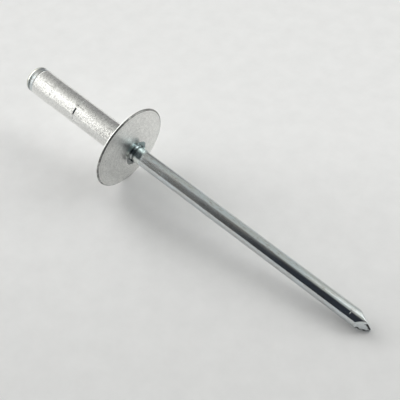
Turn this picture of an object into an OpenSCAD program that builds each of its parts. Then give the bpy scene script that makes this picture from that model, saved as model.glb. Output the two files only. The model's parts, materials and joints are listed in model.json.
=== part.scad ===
// Large-flange multi-grip blind rivet, 3.2 mm, as supplied: not yet set.
// An aluminium body (sleeve and flange in one) is threaded on a zinc-plated steel mandrel.
// The rivet lies on a flat surface, as it comes to rest: on its flange rim and its point.
// +X runs along the rivet towards the point, +Z is up.

/* [Sleeve] */
// Outside diameter of the sleeve at its tail
shank_d = 3.2; // [2.9:0.1:4]
// Step in the sleeve's diameter at each ring of dents, down towards the flange
ring_step = 0.024; // [0:0.004:0.04]
// Length of the sleeve under the flange
shank_l = 13.75; // [12.5:0.05:20]
// Diameter of the bore through the body
bore_d = 1.95; // [1.9:0.01:2.2]

/* [Flange] */
// Outside diameter of the flange
flange_d = 10; // [8:0.1:14]
// Thickness of the flange at its rim
rim_t = 0.28; // [0.22:0.01:0.6]
// Height of the domed face above its rim
dome_h = 0.45; // [0.3:0.01:0.5]

/* [Grip dents] */
// Distance from the flange seat to the steep wall of the first ring of dents
dent_start = 7.35; // [5:0.05:8]
// Distance from one ring of dents to the next
dent_pitch = 3.8; // [3:0.1:4.2]
// Number of dents in a ring
dent_count = 6; // [4:1:6]
// Angle that one dent spans
dent_arc = 48; // [30:1:52]
// Depth of a dent
dent_depth = 0.12; // [0.04:0.01:0.2]
// Length of a dent along the sleeve
dent_w = 1; // [0.6:0.05:1.4]

/* [Mandrel] */
// Diameter of the mandrel's stem
stem_d = 1.8; // [1.6:0.01:1.85]
// Height of the point above the flange's rim
stem_out = 32.05; // [26:0.05:45]
// Diameter of the mandrel's head
head_d = 3.15; // [2.6:0.05:3.2]
// Length of the mandrel's head
head_l = 1.17; // [1.05:0.01:2]
// Diameter at the bottom of the break notch
notch_d = 1.25; // [1:0.05:1.5]
// Distance from the head to the break notch
notch_at = 1.6; // [1:0.1:6]

/* [Crimp] */
// Height of the crimp's middle above the flange's rim
crimp_at = 0.88; // [0.85:0.01:0.95]
// Depth of each of the two pinched flats
crimp_depth = 0.22; // [0.1:0.01:0.28]
// Radius that the two squeezed ears reach
ear_reach = 1.5; // [1.2:0.05:1.6]
// Thickness of an ear
ear_t = 0.34; // [0.2:0.02:0.5]

/* [Point] */
// Angle between the main facet and the stem
main_facet_angle = 34; // [30:0.5:45]
// Angle between the back facet and the stem
back_facet_angle = 29; // [24:0.5:36]

/* [Hidden] */
$fn = 128;
eps = 0.01;
shank_r = shank_d / 2;
stem_r = stem_d / 2;
head_r = head_d / 2;
flange_r = flange_d / 2;

// Edge roundings and fillets
rim_r = 0.1;
seat_fillet = 0.2;
shank_end_r = 0.12;
bore_chamfer_w = 0.2;
bore_chamfer_h = 0.1;
head_end_r = 0.5;

// Directions round the mandrel, from straight down when the rivet lies, towards +Y
crimp_turn = 33;
ear_turn = crimp_turn + 90;
main_facet_turn = -93;
back_facet_turn = ear_turn;
dent_turn = -122;

// Places along the mandrel, from the plane of the rim's front edge
seat_z = -rim_t;
shank_end_z = seat_z - shank_l;
head_end_z = shank_end_z - head_l;
notch_z = shank_end_z + notch_at;
notch_half_l = 0.4;

// Length of a dent's steep wall, which faces the flange
dent_wall = 0.12;

// The two rings of dents: where each one's steep wall is, and the sleeve's radius on its flange side
rings = [0, 1];
function ring_z(ring) = seat_z - dent_start - ring * dent_pitch;
function stretch_r(ring) = shank_r - (len(rings) - ring) * ring_step / 2;

// Radius of the crimping die's nose
die_r = 0.35;

// The squeezed stem swells a little all round, over this length on each side of the thickest place
crimp_swell = 0.06;
crimp_half_l = 0.42;
crimp_thickest_z = crimp_at - 0.02;

// The ear: its two ends along the mandrel, its root at the flange and its outer edge
ear_base_z = dome_h + 0.02;
ear_top_z = crimp_at + 0.46;
ear_root_r = stem_r + 0.15;
ear_edge = 0.2;

// Where the two facets' planes cross the mandrel's axis, and where the point rests
main_facet_z = stem_out - 0.25;
back_facet_z = stem_out - 0.1;
foot_z = stem_out - 0.06;

// The dome's sphere
dome_base_r = flange_r - rim_r;
dome_r = (dome_base_r * dome_base_r + dome_h * dome_h) / (2 * dome_h);

// Tilt at which the rim's rounded edge and the mandrel's foot both touch the surface
rest_run = foot_z + rim_r;
rest_rise = dome_base_r - stem_r;
rest_tilt = atan(rest_rise / rest_run) + asin(rim_r / norm([rest_run, rest_rise]));
rest_height = dome_base_r * cos(rest_tilt) - rim_r * sin(rest_tilt) + rim_r;

// Ends of the rivet along X, before it is centred
tail_x = (head_end_z + head_end_r) * cos(rest_tilt)
    - (head_r - head_end_r) * sin(rest_tilt) - head_end_r;
point_x = stem_out * cos(rest_tilt) - stem_r / 2 * sin(rest_tilt);

// Lays a piece that stands along Z down on the surface
module lying() {
    translate([-(tail_x + point_x) / 2, 0, rest_height])
        rotate([0, 90 + rest_tilt, 0])
            children();
}

// Half section of a disc whose rim edges are rounded
module rounded_rim_section(radius, thickness, edge_r) {
    square([radius - edge_r, thickness]);
    translate([0, edge_r])
        square([radius, thickness - 2 * edge_r]);
    for (z = [edge_r, thickness - edge_r])
        translate([radius - edge_r, z])
            circle(r = edge_r);
}

// Half section of the domed face, above the rim's plane
module dome_section() {
    intersection() {
        translate([0, dome_h - dome_r])
            circle(r = dome_r);
        translate([0, -eps])
            square([dome_base_r, dome_h + eps]);
    }
}

// Half section of the concave fillet between the sleeve and the flange seat
module seat_fillet_section() {
    difference() {
        translate([stretch_r(0) - eps, seat_z - seat_fillet])
            square([seat_fillet + eps, seat_fillet + eps]);
        translate([stretch_r(0) + seat_fillet, seat_z - seat_fillet])
            circle(r = seat_fillet);
    }
}

// Half section of the sleeve: the stretch next to the flange, the middle one, then the tail and its
// rounded end
module sleeve_section() {
    translate([0, ring_z(0) - eps])
        square([stretch_r(0), dent_start + 2 * eps]);
    translate([0, ring_z(1) - eps])
        square([stretch_r(1), dent_pitch + eps]);
    translate([0, shank_end_z + shank_end_r])
        square([shank_r, ring_z(1) - shank_end_z - shank_end_r]);
    translate([0, shank_end_z])
        square([shank_r - shank_end_r, shank_end_r + eps]);
    translate([shank_r - shank_end_r, shank_end_z + shank_end_r])
        circle(r = shank_end_r);
}

// The sleeve and its flange, before boring and denting
module body_blank() {
    rotate_extrude()
        intersection() {
            union() {
                sleeve_section();
                seat_fillet_section();
                translate([0, seat_z])
                    rounded_rim_section(flange_r, rim_t, rim_r);
                dome_section();
            }
            translate([0, shank_end_z])
                square([flange_r, shank_l + rim_t + dome_h]);
        }
}

// The bore, opened by a small chamfer at the domed face
module body_bore() {
    translate([0, 0, shank_end_z - eps])
        cylinder(d = bore_d, h = shank_l + rim_t + dome_h + 2 * eps);
    translate([0, 0, dome_h - bore_chamfer_h])
        cylinder(
            d1 = bore_d,
            d2 = bore_d + 4 * bore_chamfer_w,
            h = 2 * bore_chamfer_h
        );
}

// One dent over part of the sleeve's turn: a steep wall, then a ramp up towards the flange
module grip_dent(ring) {
    rotate([0, 0, -dent_arc / 2])
        rotate_extrude(angle = dent_arc)
            polygon([
                [stretch_r(ring + 1) + eps, 0],
                [stretch_r(ring) - dent_depth, dent_wall],
                [stretch_r(ring) + eps, dent_w]
            ]);
}

module rivet_body() {
    color([0.82, 0.82, 0.8])
        lying()
            difference() {
                body_blank();
                body_bore();
                for (ring = rings, i = [0 : dent_count - 1])
                    translate([0, 0, ring_z(ring)])
                        rotate([0, 0, dent_turn + i * 360 / dent_count])
                            grip_dent(ring);
            }
}

// Half section of the head and stem, with the break notch
module mandrel_section() {
    translate([0, head_end_z + head_end_r])
        square([head_r, head_l - head_end_r]);
    translate([0, head_end_z])
        square([head_r - head_end_r, head_end_r + eps]);
    translate([head_r - head_end_r, head_end_z + head_end_r])
        circle(r = head_end_r);
    polygon([
        [0, shank_end_z - eps],
        [stem_r, shank_end_z - eps],
        [stem_r, notch_z - notch_half_l],
        [notch_d / 2, notch_z],
        [stem_r, notch_z + notch_half_l],
        [stem_r, crimp_thickest_z - crimp_half_l],
        [stem_r + crimp_swell, crimp_thickest_z],
        [stem_r, crimp_thickest_z + crimp_half_l],
        [stem_r, stem_out],
        [0, stem_out]
    ]);
}

// Everything beyond one slanting cut that crosses the mandrel's axis at height z
module beyond_facet(z, turn, facet_angle) {
    reach = 4 * stem_d;
    translate([0, 0, z])
        rotate([0, 0, turn])
            rotate([0, 90 - facet_angle, 0])
                translate([-reach, -reach, 0])
                    cube([2 * reach, 2 * reach, reach]);
}

// The noses of the two crimping dies, which leave a flat on each side
module crimp_dies() {
    for (side = [0, 180])
        translate([0, 0, crimp_at])
            rotate([0, 0, crimp_turn + side])
                translate([stem_r - crimp_depth + die_r, 0, 0])
                    rotate([90, 0, 0])
                        cylinder(r = die_r, h = 2 * stem_d, center = true);
}

// One ear of the metal that the dies squeezed out sideways
module crimp_ear() {
    rotate([90, 0, 0])
        linear_extrude(height = ear_t, center = true)
            polygon([
                [0, ear_base_z],
                [ear_root_r, ear_base_z],
                [ear_reach, crimp_at - ear_edge / 2],
                [ear_reach, crimp_at + ear_edge / 2],
                [stem_r, ear_top_z],
                [0, ear_top_z]
            ]);
}

module mandrel() {
    color([0.6, 0.64, 0.65])
        lying()
            difference() {
                union() {
                    difference() {
                        rotate_extrude()
                            mandrel_section();
                        crimp_dies();
                    }
                    for (side = [0, 180])
                        rotate([0, 0, ear_turn + side])
                            crimp_ear();
                }
                beyond_facet(main_facet_z, main_facet_turn, main_facet_angle);
                beyond_facet(back_facet_z, back_facet_turn, back_facet_angle);
            }
}

rivet_body();
mandrel();
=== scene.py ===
"""Builds the visible model of an unset large-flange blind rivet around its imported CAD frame."""

import json
import math
from collections import namedtuple

import bmesh
import bpy
import numpy as np
from bpy.props import FloatProperty, FloatVectorProperty, IntProperty, PointerProperty
from mathutils import Matrix, Vector


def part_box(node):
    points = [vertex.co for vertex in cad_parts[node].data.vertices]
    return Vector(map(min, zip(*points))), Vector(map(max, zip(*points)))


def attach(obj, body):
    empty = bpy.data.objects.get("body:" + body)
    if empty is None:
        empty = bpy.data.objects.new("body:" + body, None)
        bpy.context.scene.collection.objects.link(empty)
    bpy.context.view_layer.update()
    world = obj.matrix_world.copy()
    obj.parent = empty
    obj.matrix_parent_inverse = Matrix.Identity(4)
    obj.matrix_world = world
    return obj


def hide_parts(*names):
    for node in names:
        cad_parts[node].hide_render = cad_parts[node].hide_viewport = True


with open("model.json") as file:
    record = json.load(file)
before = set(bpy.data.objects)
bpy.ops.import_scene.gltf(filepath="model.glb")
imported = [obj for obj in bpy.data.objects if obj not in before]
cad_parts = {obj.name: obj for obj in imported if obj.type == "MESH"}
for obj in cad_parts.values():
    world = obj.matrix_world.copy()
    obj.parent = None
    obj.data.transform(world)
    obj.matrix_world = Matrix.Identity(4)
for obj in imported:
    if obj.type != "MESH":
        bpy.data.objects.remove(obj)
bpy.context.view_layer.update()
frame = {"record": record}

bl_info = {
    "name": "Blind Rivet",
    "version": (1, 0, 0),
    "blender": (4, 5, 0),
    "location": "3D View > Sidebar > Blind Rivet",
    "description": "Makes a large-flange multi-grip blind rivet as supplied, lying on a pale surface",
    "category": "Add Mesh",
}

MM = 0.001
DEG = math.pi / 180
TURN = 2 * math.pi
MOUNTS = {mount["name"]: mount for mount in frame["record"]["mounts"]}
SLEEVE_RADIUS = MOUNTS["shank"]["dims"]["r_mm"] * MM
STEM_RADIUS = MOUNTS["mandrel_stem"]["dims"]["r_mm"] * MM
BODY_LOW, BODY_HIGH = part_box("rivet_body")
FLANGE_RADIUS = (BODY_HIGH.y - BODY_LOW.y) / 2

# How the two pieces are set round the axis: 0 is straight down as the rivet lies, and angles grow towards +Y
DENT_TURN = -122 * DEG
CRIMP_TURN = 33 * DEG
EAR_TURNS = (CRIMP_TURN + 90 * DEG, CRIMP_TURN - 90 * DEG)
MAIN_FACET_TURN = -93 * DEG
BACK_FACET_TURN = EAR_TURNS[0]


# ---------------------------------------------------------------- settings

# What the pieces' lengths and every colour in the settings have
LENGTH = {"precision": 5, "subtype": "DISTANCE", "unit": "LENGTH"}
COLOUR = {"min": 0, "max": 1, "size": 3, "subtype": "COLOR"}


class RivetBodySettings(bpy.types.PropertyGroup):
    """Sizes and finish of the aluminium body"""

    flange_diameter: FloatProperty(
        name="Flange Diameter", description="Outside diameter of the flange",
        default=2 * FLANGE_RADIUS, min=8 * MM, max=14 * MM, **LENGTH)
    rim_thickness: FloatProperty(
        name="Rim Thickness", description="Thickness of the flange at its rim",
        default=0.28 * MM, min=0.22 * MM, max=0.6 * MM, **LENGTH)
    dome_height: FloatProperty(
        name="Dome Height", description="Height of the domed face above the rim",
        default=0.45 * MM, min=0.3 * MM, max=0.5 * MM, **LENGTH)
    sleeve_diameter: FloatProperty(
        name="Sleeve Diameter", description="Outside diameter of the sleeve at its tail",
        default=2 * SLEEVE_RADIUS, min=2.9 * MM, max=4 * MM, **LENGTH)
    sleeve_length: FloatProperty(
        name="Sleeve Length", description="Length of the sleeve under the flange",
        default=13.75 * MM, min=12.5 * MM, max=20 * MM, **LENGTH)
    bore_diameter: FloatProperty(
        name="Bore Diameter", description="Diameter of the bore that the mandrel runs through",
        default=1.95 * MM, min=1.9 * MM, max=2.2 * MM, **LENGTH)
    dent_count: IntProperty(
        name="Dents in a Ring", description="Number of grip dents in each of the two rings",
        default=6, min=4, max=6)
    dent_depth: FloatProperty(
        name="Dent Depth", description="Depth of a grip dent",
        default=0.09 * MM, min=0.04 * MM, max=0.2 * MM, **LENGTH)
    colour: FloatVectorProperty(
        name="Aluminium", description="Colour that the bare aluminium reflects",
        default=(0.84, 0.84, 0.82), **COLOUR)
    roughness: FloatProperty(
        name="Roughness", description="How much the tumbled aluminium scatters a reflection",
        default=0.15, min=0.1, max=0.8, subtype="FACTOR")


class MandrelSettings(bpy.types.PropertyGroup):
    """Sizes and finish of the zinc-plated steel mandrel"""

    stem_diameter: FloatProperty(
        name="Stem Diameter", description="Diameter of the mandrel's stem",
        default=2 * STEM_RADIUS, min=1.6 * MM, max=1.85 * MM, **LENGTH)
    stem_height: FloatProperty(
        name="Stem Height", description="Height of the point above the flange's rim",
        default=32.05 * MM, min=26 * MM, max=45 * MM, **LENGTH)
    head_diameter: FloatProperty(
        name="Head Diameter", description="Diameter of the mandrel's head",
        default=3.15 * MM, min=2.6 * MM, max=3.2 * MM, **LENGTH)
    head_length: FloatProperty(
        name="Head Length", description="Length of the mandrel's head",
        default=1.17 * MM, min=1.05 * MM, max=2 * MM, **LENGTH)
    ear_reach: FloatProperty(
        name="Ear Reach", description="Radius that the two squeezed ears of the crimp reach",
        default=1.5 * MM, min=1.2 * MM, max=1.6 * MM, **LENGTH)
    colour: FloatVectorProperty(
        name="Zinc", description="Colour that the zinc plate reflects",
        default=(0.62, 0.65, 0.66), **COLOUR)
    roughness: FloatProperty(
        name="Roughness", description="How much the drawn wire scatters a reflection",
        default=0.1, min=0.05, max=0.8, subtype="FACTOR")


class StageSettings(bpy.types.PropertyGroup):
    """Where the camera stands, and the floor and light"""

    azimuth: FloatProperty(
        name="Azimuth", description="Direction that the camera stands in, turned from straight in front",
        default=40.47 * DEG, subtype="ANGLE", unit="ROTATION")
    elevation: FloatProperty(
        name="Elevation", description="How steeply the camera looks down",
        default=48.26 * DEG, subtype="ANGLE", unit="ROTATION")
    distance: FloatProperty(
        name="Distance", description="From the camera to the floor point that it looks at",
        default=89.54 * MM, min=20 * MM, precision=4, subtype="DISTANCE", unit="LENGTH")
    focal_length: FloatProperty(
        name="Focal Length", description="Of the lens on a 36 mm sensor, in millimetres",
        default=72, min=20, max=200)
    floor_colour: FloatVectorProperty(
        name="Floor", description="Colour of the pale floor",
        default=(0.8, 0.798, 0.798), **COLOUR)


class BlindRivetSettings(bpy.types.PropertyGroup):
    """Everything that the panel shows"""

    body: PointerProperty(type=RivetBodySettings, name="Body", description="The aluminium body")
    mandrel: PointerProperty(type=MandrelSettings, name="Mandrel", description="The steel mandrel")
    stage: PointerProperty(type=StageSettings, name="Stage", description="Camera, floor and light")


# ---------------------------------------------------------------- shape tools

# One run of points along a turned section: distance from the axis, place along it, and outward direction
Section = namedtuple("Section", "radius along out_radius out_along")

# Points closer than this are one point
SAME_PLACE = 1e-7

# The lengths of a random field's waves go from the first to the second of these times the one asked for
WAVE_SPREAD = (0.7, 1.6)


def rivet_place(rim_thickness):
    """The matrix from the rivet's own frame to the row frame.

    The rivet's Z runs along the mandrel to its point, its X points down, and its origin is in the plane of
    the rim's front edge.
    """
    stem = MOUNTS["mandrel_stem"]
    seat = Vector(MOUNTS["flange_seat"]["pos_m"])
    axis = Vector(stem["axis"]).normalized()
    on_axis = Vector(stem["pos_m"])
    origin = on_axis + axis * ((seat - on_axis).dot(axis) + rim_thickness)
    side = Vector((0, 1, 0))
    down = side.cross(axis)
    place = Matrix((down, side, axis)).transposed().to_4x4()
    place.translation = origin
    return place


def steps(start, stop, step):
    """Even steps from start to stop, both included, no longer than step."""
    return np.linspace(start, stop, max(2, math.ceil(abs(stop - start) / step) + 1))


def smooth_step(x):
    x = np.clip(x, 0, 1)
    return x * x * (3 - 2 * x)


def soft_min(a, b, blend):
    """The lesser of two fields, with their meeting rounded over the blend length."""
    h = np.clip(0.5 + 0.5 * (b - a) / blend, 0, 1)
    return b + (a - b) * h - blend * h * (1 - h)


def soft_max(a, b, blend):
    return -soft_min(-a, -b, blend)


def angle_from(angle, centre):
    """Signed angle from centre, in -pi to pi."""
    return (angle - centre + math.pi) % TURN - math.pi


def waves(points, wavelength, seed, count=18):
    """A smooth random field of about unit height over points (..., 3), with waves of about that length."""
    rng = np.random.default_rng(seed)
    direction = rng.normal(size=(count, 3))
    direction /= np.linalg.norm(direction, axis=1, keepdims=True)
    number = TURN / (wavelength * rng.uniform(*WAVE_SPREAD, count))
    phase = rng.uniform(0, TURN, count)
    field = np.zeros(points.shape[:-1])
    for heading, k, shift in zip(direction, number, phase):
        field += np.sin(points @ heading * k + shift)
    return field / math.sqrt(count)


def outward(section):
    """Outward directions along a section that is walked with the metal on its left."""
    section = np.asarray(section)
    ahead = np.gradient(section, axis=0)
    ahead /= np.linalg.norm(ahead, axis=1, keepdims=True)
    return Section(section[:, 0], section[:, 1], ahead[:, 1], -ahead[:, 0])


def arc(centre, radius, start, stop, count):
    """Points on an arc of a section, its ends included."""
    turn = np.linspace(start, stop, count)
    return np.stack([centre[0] + radius * np.cos(turn), centre[1] + radius * np.sin(turn)], axis=1)


def joined(*runs):
    """One run of points, with no point twice in a row."""
    points = np.concatenate([np.asarray(run, float).reshape(-1, 2) for run in runs])
    keep = np.concatenate([[True], np.linalg.norm(np.diff(points, axis=0), axis=1) > SAME_PLACE])
    return points[keep]


def turned(radius, along, angle):
    """Points (..., 3) in the rivet's frame from radius, place along the axis and angle."""
    return np.stack([radius * np.cos(angle), radius * np.sin(angle), along + 0 * angle], axis=-1)


def skin(name, rings, marks, place, closed=False, start_pole=None, end_pole=None):
    """A smooth mesh object through rings of points (ring, column, 3), each ring going once round the axis.

    Marks tell how much soil and painted shade darken the metal at each point, from 0 to 1.
    """
    ring_count, column_count = rings.shape[:2]
    points = rings.reshape(-1, 3)
    ring = np.arange(ring_count if closed else ring_count - 1)[:, None]
    column = np.arange(column_count)[None, :]
    next_ring = (ring + 1) % ring_count
    next_column = (column + 1) % column_count
    corners = [
        ring * column_count + column,
        ring * column_count + next_column,
        next_ring * column_count + next_column,
        next_ring * column_count + column,
    ]
    faces = np.stack(np.broadcast_arrays(*corners), axis=-1).reshape(-1, 4).tolist()
    poles = []
    for pole, first in ((start_pole, 0), (end_pole, (ring_count - 1) * column_count)):
        if pole is not None:
            tip = len(points) + len(poles)
            poles.append(pole)
            faces += [
                (tip, first + j, first + (j + 1) % column_count) for j in range(column_count)
            ]
    if poles:
        points = np.concatenate([points, np.array(poles, float)])
    mesh = bpy.data.meshes.new(name)
    mesh.from_pydata(points.tolist(), [], faces)
    own_place = mesh.attributes.new("own_place", "FLOAT_VECTOR", "POINT")
    own_place.data.foreach_set("vector", (points / MM).astype(np.float32).ravel())
    marks = np.concatenate([marks.ravel(), np.zeros(len(poles))]).astype(np.float32)
    mesh.attributes.new("marks", "FLOAT", "POINT").data.foreach_set("value", marks)
    tool = bmesh.new()
    tool.from_mesh(mesh)
    bmesh.ops.recalc_face_normals(tool, faces=tool.faces)
    tool.to_mesh(mesh)
    tool.free()
    mesh.transform(place)
    mesh.shade_smooth()
    piece = bpy.data.objects.new(name, mesh)
    bpy.context.scene.collection.objects.link(piece)
    return piece


# ---------------------------------------------------------------- material tools

class Nodes:
    """Short ways to add nodes to a node tree and to join them."""

    def __init__(self, tree):
        self.tree = tree

    def feed(self, socket, value):
        """Joins another node's output to a socket, or sets the socket to a plain value."""
        if isinstance(value, bpy.types.NodeSocket):
            self.tree.links.new(value, socket)
        else:
            socket.default_value = value

    def node(self, kind, **inputs):
        """A new node with its inputs fed; an input's name has _ for a space."""
        node = self.tree.nodes.new(kind)
        for name, value in inputs.items():
            self.feed(node.inputs[name.replace("_", " ")], value)
        return node

    def maths(self, operation, a, b):
        node = self.node("ShaderNodeMath")
        node.operation = operation
        self.feed(node.inputs[0], a)
        self.feed(node.inputs[1], b)
        return node.outputs["Value"]

    def plus(self, a, b):
        return self.maths("ADD", a, b)

    def times(self, product, *others):
        for other in others:
            product = self.maths("MULTIPLY", product, other)
        return product

    def length(self, vector):
        node = self.node("ShaderNodeVectorMath", Vector=vector)
        node.operation = "LENGTH"
        return node.outputs["Value"]

    def ramp(self, value, span, result=(0.0, 1.0), kind="LINEAR"):
        """Value mapped from the span, which may run either way, to the result, and kept inside it."""
        (low, low_result), (high, high_result) = sorted(zip(span, result))
        node = self.node("ShaderNodeMapRange", Value=value, From_Min=low, From_Max=high,
                         To_Min=low_result, To_Max=high_result)
        node.interpolation_type = kind
        return node.outputs["Result"]

    def colours(self, value, *stops):
        """A colour by value, from stops of (value, colour) between 0 and 1."""
        node = self.node("ShaderNodeValToRGB", Fac=value)
        elements = node.color_ramp.elements
        while len(elements) < len(stops):
            elements.new(0.5)
        for element, (place, colour) in zip(elements, stops):
            element.position = place
            element.color = (*colour, 1)
        return node.outputs["Color"]

    def mixed(self, share, under, over, mode="MIX"):
        """Colour under, mixed with colour over by share, or with share of it added."""
        node = self.node("ShaderNodeMix")
        node.data_type = "RGBA"
        node.blend_type = mode
        for name, value in (("Factor", share), ("A", under), ("B", over)):
            self.feed(node.inputs[name], (*value, 1) if isinstance(value, tuple) else value)
        return node.outputs["Result"]

    def noise(self, vector, scale, detail=3, rough=0.55):
        """Noise that is mostly between 0.3 and 0.7."""
        node = self.node("ShaderNodeTexNoise", Vector=vector, Scale=scale, Detail=detail, Roughness=rough)
        return node.outputs["Fac"]


class Finish(Nodes):
    """A new node material."""

    def __init__(self, name):
        self.material = bpy.data.materials.new(name)
        self.material.use_nodes = True
        super().__init__(self.material.node_tree)
        self.shader = self.tree.nodes["Principled BSDF"]


class Metal(Finish):
    """A new metal, which knows each point's marks and its place in the rivet's own frame, in millimetres."""

    def __init__(self, name):
        super().__init__(name)
        self.place = self.attribute("own_place").outputs["Vector"]
        self.marks = self.attribute("marks").outputs["Fac"]
        axes = self.node("ShaderNodeSeparateXYZ", Vector=self.place).outputs
        self.sideways, self.along = axes["Y"], axes["Z"]
        self.radius = self.length(self.scaled(along=0))

    def attribute(self, name):
        node = self.node("ShaderNodeAttribute")
        node.attribute_name = name
        return node

    def scaled(self, along):
        """The place with its part along the axis scaled."""
        return self.node("ShaderNodeMapping", Vector=self.place, Scale=(1, 1, along)).outputs["Vector"]

    def pattern(self, scale, along=1, detail=3, rough=0.55):
        """Noise over the metal, drawn out along the axis where along is under 1."""
        return self.noise(self.place if along == 1 else self.scaled(along), scale, detail, rough)

    def relief(self, *layers):
        """A bumpy normal from layers of (height, distance, strength), each over the last."""
        normal = None
        for height, distance, strength in layers:
            node = self.node("ShaderNodeBump", Height=height, Distance=distance, Strength=strength)
            if normal is not None:
                self.feed(node.inputs["Normal"], normal)
            normal = node.outputs["Normal"]
        return normal

    def polished(self, tone, roughness, normal):
        """The finished material."""
        self.shader.inputs["Metallic"].default_value = 1.0
        for name, value in (("Base Color", tone), ("Roughness", roughness), ("Normal", normal)):
            self.feed(self.shader.inputs[name], value)
        return self.material


def tinted(colour, tint):
    """The colour times a number, or times a number for each channel, kept within white."""
    return tuple(np.minimum(1.0, np.multiply(colour, tint)).tolist())


# Parts of the aluminium body that have a finish of their own, in millimetres: the flange, its face and its
# rim's front along the axis, the rim from its edge, the ring round the bore away from the axis, and the
# side towards +Y where the rim gets painted shade. Each goes from where the finish starts to where it is
# full
ON_FLANGE = (-0.9, -0.3)
ON_FACE = (-0.1, 0.0)
ON_RIM_FRONT = (-0.19, -0.13)
ON_RIM = (-0.18, -0.11)
NEAR_BORE = (2.4, 1.2)
RIM_SHADE_SIDE = (0.2, 1.2)

# The aluminium's tones, as parts of its own colour: random tones, specks, the painted dark reflection along
# the rim's front edge, the painted shade on the rim's +Y side and the turning rings; and the colour of the
# soil and painted shade in its dents and of the soil in its lap lines
ALUMINIUM_TONES = (0.86, 1.09)
SPECK_TINT = 0.4
RIM_EDGE_REFLECTION_TINT = 0.16
RIM_SIDE_SHADE_TINT = 0.3
TURNING_TINT = 0.62
GRIME_AND_SHADE_COLOUR = (0.1, 0.085, 0.06)

# The flange is duller than the sleeve, and less so near the bore; the sleeve's roughness goes with its tone
FLANGE_ROUGHNESS = 0.24
NEAR_BORE_SHARE = 0.72
ALUMINIUM_ROUGHNESS = (1.2, 0.85)
DRAWING_RELIEF, GRAIN_RELIEF, FINE_RELIEF, TURNING_RELIEF = 0.004 * MM, 0.011 * MM, 0.003 * MM, 0.02 * MM


def painted_rim_darkening(metal, tone, colour, shade, rim_radius):
    """The tone, with painted dark reflection along the rim's front edge, broken up by noise, and painted
    shade in patches on the rim's +Y side.
    """
    rim = metal.ramp(metal.plus(metal.radius, -rim_radius), ON_RIM)
    # Painted dark reflection: a dark line along the rim's front edge, broken up by noise
    reflection_breaks = metal.ramp(metal.pattern(1.6, detail=4, rough=0.7), (0.38, 0.52), (0.5, 0.95))
    dark_reflection = metal.times(rim, metal.ramp(metal.along, ON_RIM_FRONT), reflection_breaks)
    tone = metal.mixed(dark_reflection, tone, tinted(colour, RIM_EDGE_REFLECTION_TINT))
    # Painted shade in patches over the rim's +Y side
    shade_patches = metal.ramp(shade, (0.4, 0.58), (0.4, 0.9))
    side_shade = metal.times(rim, metal.ramp(metal.sideways, RIM_SHADE_SIDE), shade_patches)
    return metal.mixed(side_shade, tone, tinted(colour, RIM_SIDE_SHADE_TINT))


def tumbled_aluminium(settings):
    """Tumbled satin aluminium: clouds, drawing lines, grain, specks, a rim with painted dark reflection and
    painted shade, soil and painted shade in the dents, and a turned face.
    """
    metal = Metal("tumbled_aluminium")
    colour = tuple(settings.colour)
    clouds = metal.pattern(1.1, along=0.4, detail=5)
    drawing = metal.pattern(12, along=0.07, detail=4, rough=0.7)
    grain = metal.pattern(5, along=0.8, detail=2, rough=0.7)
    fine = metal.pattern(26, detail=2)
    shade = metal.plus(metal.times(clouds, 0.3), metal.times(grain, 0.7))
    dark, light = (tinted(colour, tint) for tint in ALUMINIUM_TONES)
    tone = metal.colours(shade, (0.38, dark), (0.6, light))
    specks = metal.ramp(metal.pattern(7.5, along=0.7, detail=2), (0.6, 0.7), (0.0, 0.5))
    tone = metal.mixed(specks, tone, tinted(colour, SPECK_TINT))
    tone = painted_rim_darkening(metal, tone, colour, shade, settings.flange_diameter / 2 / MM)
    on_face = metal.ramp(metal.along, ON_FACE)
    circles = metal.node("ShaderNodeCombineXYZ", X=metal.radius).outputs["Vector"]
    turning = metal.noise(circles, 4, detail=3, rough=0.7)
    broken = metal.ramp(grain, (0.42, 0.6))
    ringed = metal.times(metal.ramp(turning, (0.5, 0.62), (0.0, 0.6)), broken, on_face)
    tone = metal.mixed(ringed, tone, tinted(colour, TURNING_TINT))
    # Soil and painted shade in the dents' walls, and soil in the lap lines
    tone = metal.mixed(metal.marks, tone, GRIME_AND_SHADE_COLOUR)
    flange = metal.times(
        metal.ramp(metal.along, ON_FLANGE, (0.0, FLANGE_ROUGHNESS)),
        metal.ramp(metal.radius, NEAR_BORE, (1.0, NEAR_BORE_SHARE)),
    )
    sleeve = metal.ramp(shade, (0.36, 0.64), [settings.roughness * share for share in ALUMINIUM_ROUGHNESS])
    normal = metal.relief(
        (drawing, DRAWING_RELIEF, 0.6),
        (grain, GRAIN_RELIEF, 1.0),
        (fine, FINE_RELIEF, 0.6),
        (metal.times(turning, on_face), TURNING_RELIEF, 1.0),
    )
    return metal.polished(tone, metal.plus(sleeve, flange), normal)


# Parts of the mandrel that have a finish of their own, in millimetres: the crimp along the axis, its ears
# away from the axis, the ear towards -Y that gets a painted highlight, and the painted dark ring round the
# head's shoulder, which is darkest at its two sides, and the cap from the head's shoulder. Each goes from
# where the finish starts to where it is full
CRIMP_START, CRIMP_END = (0.3, 0.42), (2.3, 1.8)
ON_EARS = (0.98, 1.1)
PAINTED_HIGHLIGHT_SIDE = (-0.72, -0.9)
PAINTED_RING_START, PAINTED_RING_END = (-0.08, 0.04), (0.32, 0.2)
PAINTED_RING_SIDES = (0.3, 1.0)
ON_CAP = (-0.05, -0.15)

# The zinc's tones, as parts of its own colour, and the colours of its stains, of its painted highlight, of
# the painted shade in its grooves, of the painted dark reflection round the head's shoulder and of its cap
WARM_TINT = (1.0, 0.985, 0.955)
COOL_TINT = (1.0094, 1.0403, 1.0609)
SQUEEZED_TINT = (0.86, 0.98, 0.98)
STAIN_COLOUR = (0.46, 0.43, 0.41)
PAINTED_HIGHLIGHT_COLOUR = (0.92, 0.94, 0.92)
GROOVE_SHADE_COLOUR = (0.07, 0.09, 0.095)
PAINTED_RING_COLOUR = (0.1, 0.115, 0.105)
CAP_COLOUR = (0.46, 0.46, 0.395)

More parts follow.
